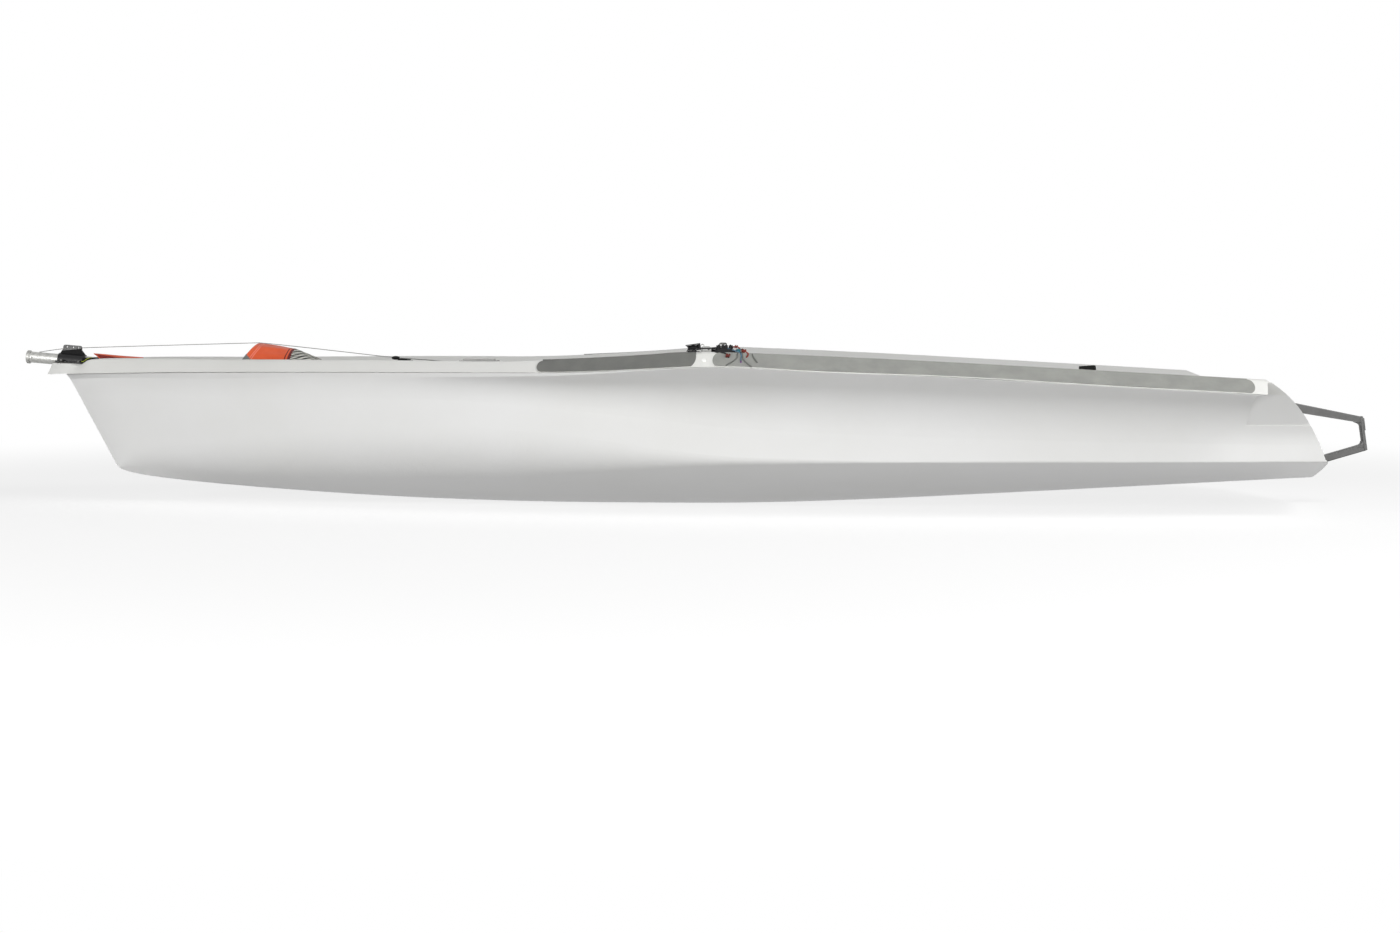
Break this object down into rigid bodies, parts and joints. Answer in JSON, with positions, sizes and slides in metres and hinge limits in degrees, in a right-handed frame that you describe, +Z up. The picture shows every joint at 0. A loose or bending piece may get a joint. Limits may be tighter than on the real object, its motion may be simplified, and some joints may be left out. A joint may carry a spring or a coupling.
{
  "type": "two-person skiff dinghy hull",
  "caption": "Two-person skiff dinghy, bare hull with winged side decks, open stern, sliding bowsprit, deck gear and rudder gantry, without mast, sails, board or rudder",
  "frame": {"origin": "under the middle of the overall box, on the floor the keel rests on", "axes": "+X forward to the bow, +Y to port, +Z up"},
  "size_m": [4.6838, 1.7708, 0.5628],
  "materials": {
    "black_anodised": "hard black anodised",
    "black_nylon": "glass filled nylon, black",
    "black_rubber": "moulded rubber, black",
    "bright_aluminium": "machined, clear anodised",
    "deck_gelcoat": "satin white gelcoat",
    "gantry_grey": "powder coated aluminium, dark grey",
    "grip_foam_dark": "closed-cell non-slip foam, dark grey",
    "grip_foam_light": "closed-cell non-slip foam, mid grey",
    "hull_gelcoat": "polished white gelcoat on glass laminate",
    "pole_aluminium": "clear anodised tube, mottled",
    "sock_mesh": "grey open mesh",
    "sock_orange": "orange coated sailcloth",
    "steel": "stainless steel",
    "webbing": "woven webbing, black"
  },
  "bodies": {
    "boat": {"block_foot_port": "steel", "block_foot_starboard": "steel", "bow_fin": "black_anodised", "bow_flap": "sock_orange", "bow_saddle": "black_anodised", "chainplate_port": "steel", "chainplate_starboard": "steel", "chute_hoop": "steel", "cleat_plate_port": "black_nylon", "cleat_plate_starboard": "black_nylon", "cockpit_liner": "deck_gelcoat", "deck": "deck_gelcoat", "foot_chock": "black_rubber", "gantry_foot_lower": "gantry_grey", "gantry_foot_port": "gantry_grey", "gantry_foot_starboard": "gantry_grey", "gantry_leg_lower": "gantry_grey", "gantry_leg_port": "gantry_grey", "gantry_leg_starboard": "gantry_grey", "gantry_post": "gantry_grey", "grip_pad_aft_port": "grip_foam_light", "grip_pad_aft_starboard": "grip_foam_light", "grip_pad_forward_port": "grip_foam_dark", "grip_pad_forward_starboard": "grip_foam_dark", "hatch_port": "black_nylon", "hatch_starboard": "black_nylon", "hull": "hull_gelcoat", "jib_car": "black_nylon", "jib_track": "black_anodised", "mainsheet_arm": "bright_aluminium", "mainsheet_base": "black_nylon", "mainsheet_block": "black_nylon", "mainsheet_sheave": "black_nylon", "mast_step": "bright_aluminium", "ratchet_block_port": "black_nylon", "ratchet_block_starboard": "black_nylon", "ratchet_sheave_port": "bright_aluminium", "ratchet_sheave_starboard": "bright_aluminium", "sock_mesh": "sock_mesh", "sock_mouth": "sock_orange", "strap_plate_back_port": "steel", "strap_plate_back_starboard": "steel", "strap_plate_front_port": "steel", "strap_plate_front_starboard": "steel", "toe_strap_port": "webbing", "toe_strap_starboard": "webbing", "trunk_cap": "deck_gelcoat", "trunk_post_back": "deck_gelcoat", "trunk_post_front": "deck_gelcoat", "trunk_side_port": "deck_gelcoat", "trunk_side_starboard": "deck_gelcoat"},
    "bowsprit": {"pole": "pole_aluminium", "pole_collar": "bright_aluminium", "pole_heel": "black_nylon"}
  },
  "joints": [
    {"name": "bowsprit_slide", "type": "slide", "parent": "boat", "child": "bowsprit", "axis": [0.9965, 0, 0.0837], "range_m": [0, 1.05]}
  ]
}
